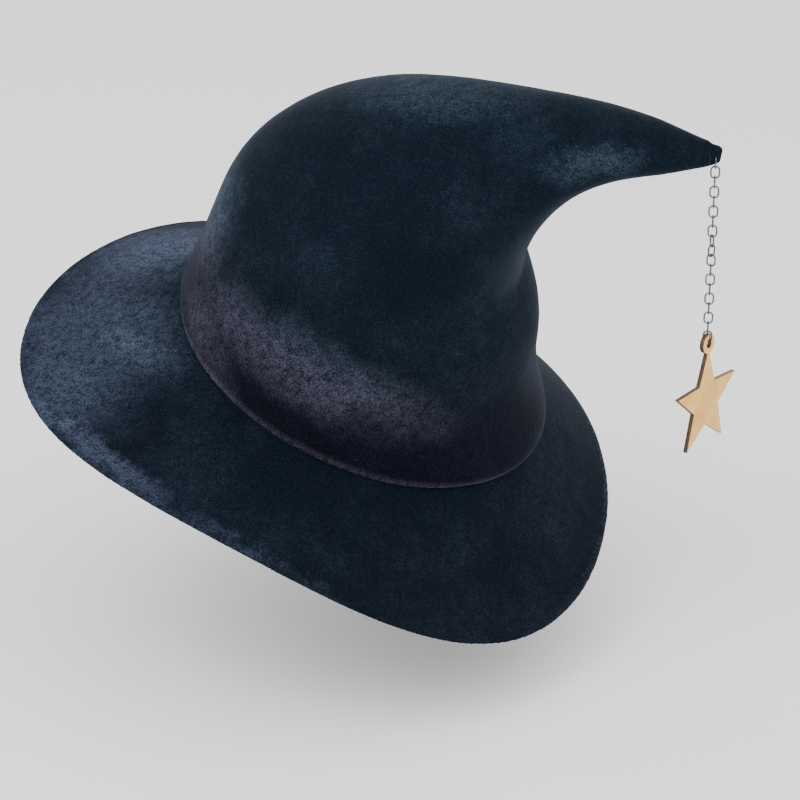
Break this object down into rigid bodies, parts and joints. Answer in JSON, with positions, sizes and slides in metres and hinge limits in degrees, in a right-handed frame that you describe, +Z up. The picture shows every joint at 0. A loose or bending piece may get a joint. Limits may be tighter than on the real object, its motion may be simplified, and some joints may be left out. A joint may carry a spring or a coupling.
{
  "type": "witch hat",
  "caption": "Leaning felt witch hat with a bent horn, a wavy brim and a star charm swinging from the tip on an oval-link chain.",
  "frame": {"origin": "middle of the head opening, where the crown is sewn to the brim, with the hat leaning as it is worn", "axes": "+Z straight up, against the hanging chain; +X the side that the horn points to; the hat's own axis leans 29 degrees from +Z towards a heading of -31 degrees from +X"},
  "size_m": [0.4067, 0.3354, 0.2999],
  "materials": {
    "felt": "brushed velour nap, dark blue-black",
    "ribbon": "ribbed black grosgrain",
    "thread": "twisted polyester thread",
    "steel": "polished grey steel",
    "gold_acrylic": "gold mirror face with dark laser-cut edges"
  },
  "bodies": {
    "hat": {"crown_felt": "felt", "brim_felt": "felt", "sweatband": "ribbon", "seam_stitches": "thread", "sweatband_stitches": "thread"},
    "link_01": {"chain_link_01": "steel"},
    "link_02": {"chain_link_02": "steel"},
    "link_03": {"chain_link_03": "steel"},
    "link_04": {"chain_link_04": "steel"},
    "link_05": {"chain_link_05": "steel"},
    "link_06": {"chain_link_06": "steel"},
    "link_07": {"chain_link_07": "steel"},
    "link_08": {"chain_link_08": "steel"},
    "link_09": {"chain_link_09": "steel"},
    "link_10": {"chain_link_10": "steel"},
    "link_11": {"chain_link_11": "steel"},
    "link_12": {"chain_link_12": "steel"},
    "link_13": {"chain_link_13": "steel"},
    "link_14": {"chain_link_14": "steel"},
    "link_15": {"chain_link_15": "steel"},
    "link_16": {"chain_link_16": "steel"},
    "link_17": {"chain_link_17": "steel"},
    "link_18": {"chain_link_18": "steel"},
    "link_19": {"chain_link_19": "steel"},
    "star": {"star_charm": "gold_acrylic"}
  },
  "joints": [
    {"name": "link_01_swing", "type": "hinge", "parent": "hat", "child": "link_01", "pos_m": [0.20359, -0.05048, 0.14872], "axis": [-0.1392, 0.9903, 0], "range_deg": [-8, 8]},
    {"name": "link_02_swing", "type": "hinge", "parent": "link_01", "child": "link_02", "pos_m": [0.20359, -0.05048, 0.14242], "axis": [-0.1392, 0.9903, 0], "range_deg": [-4, 4]},
    {"name": "link_03_swing", "type": "hinge", "parent": "link_02", "child": "link_03", "pos_m": [0.20359, -0.05048, 0.13708], "axis": [0.9903, 0.1392, 0], "range_deg": [-4, 4]},
    {"name": "link_04_swing", "type": "hinge", "parent": "link_03", "child": "link_04", "pos_m": [0.20359, -0.05048, 0.13174], "axis": [-0.1392, 0.9903, 0], "range_deg": [-4, 4]},
    {"name": "link_05_swing", "type": "hinge", "parent": "link_04", "child": "link_05", "pos_m": [0.20359, -0.05048, 0.1264], "axis": [0.9903, 0.1392, 0], "range_deg": [-4, 4]},
    {"name": "link_06_swing", "type": "hinge", "parent": "link_05", "child": "link_06", "pos_m": [0.20359, -0.05048, 0.12106], "axis": [-0.1392, 0.9903, 0], "range_deg": [-4, 4]},
    {"name": "link_07_swing", "type": "hinge", "parent": "link_06", "child": "link_07", "pos_m": [0.20359, -0.05048, 0.11572], "axis": [0.9903, 0.1392, 0], "range_deg": [-4, 4]},
    {"name": "link_08_swing", "type": "hinge", "parent": "link_07", "child": "link_08", "pos_m": [0.20359, -0.05048, 0.11038], "axis": [-0.1392, 0.9903, 0], "range_deg": [-4, 4]},
    {"name": "link_09_swing", "type": "hinge", "parent": "link_08", "child": "link_09", "pos_m": [0.20359, -0.05048, 0.10504], "axis": [0.9903, 0.1392, 0], "range_deg": [-4, 4]},
    {"name": "link_10_swing", "type": "hinge", "parent": "link_09", "child": "link_10", "pos_m": [0.20359, -0.05048, 0.0997], "axis": [-0.4695, 0.8829, 0], "range_deg": [-4, 4]},
    {"name": "link_11_swing", "type": "hinge", "parent": "link_10", "child": "link_11", "pos_m": [0.20359, -0.05048, 0.09436], "axis": [0.6018, 0.7986, 0], "range_deg": [-4, 4]},
    {"name": "link_12_swing", "type": "hinge", "parent": "link_11", "child": "link_12", "pos_m": [0.20359, -0.05048, 0.08902], "axis": [-0.9781, 0.2079, 0], "range_deg": [-4, 4]},
    {"name": "link_13_swing", "type": "hinge", "parent": "link_12", "child": "link_13", "pos_m": [0.20359, -0.05048, 0.08368], "axis": [-0.1392, 0.9903, 0], "range_deg": [-4, 4]},
    {"name": "link_14_swing", "type": "hinge", "parent": "link_13", "child": "link_14", "pos_m": [0.20359, -0.05048, 0.07834], "axis": [-0.9903, -0.1392, 0], "range_deg": [-4, 4]},
    {"name": "link_15_swing", "type": "hinge", "parent": "link_14", "child": "link_15", "pos_m": [0.20359, -0.05048, 0.073], "axis": [-0.1392, 0.9903, 0], "range_deg": [-4, 4]},
    {"name": "link_16_swing", "type": "hinge", "parent": "link_15", "child": "link_16", "pos_m": [0.20359, -0.05048, 0.06766], "axis": [-0.9903, -0.1392, 0], "range_deg": [-4, 4]},
    {"name": "link_17_swing", "type": "hinge", "parent": "link_16", "child": "link_17", "pos_m": [0.20359, -0.05048, 0.06232], "axis": [-0.1392, 0.9903, 0], "range_deg": [-4, 4]},
    {"name": "link_18_swing", "type": "hinge", "parent": "link_17", "child": "link_18", "pos_m": [0.20359, -0.05048, 0.05698], "axis": [-0.9903, -0.1392, 0], "range_deg": [-4, 4]},
    {"name": "link_19_swing", "type": "hinge", "parent": "link_18", "child": "link_19", "pos_m": [0.20359, -0.05048, 0.05164], "axis": [-0.1392, 0.9903, 0], "range_deg": [-4, 4]},
    {"name": "star_swing", "type": "hinge", "parent": "link_19", "child": "star", "pos_m": [0.20359, -0.05048, 0.0463], "axis": [-0.9903, -0.1392, 0], "range_deg": [-8, 8]}
  ]
}
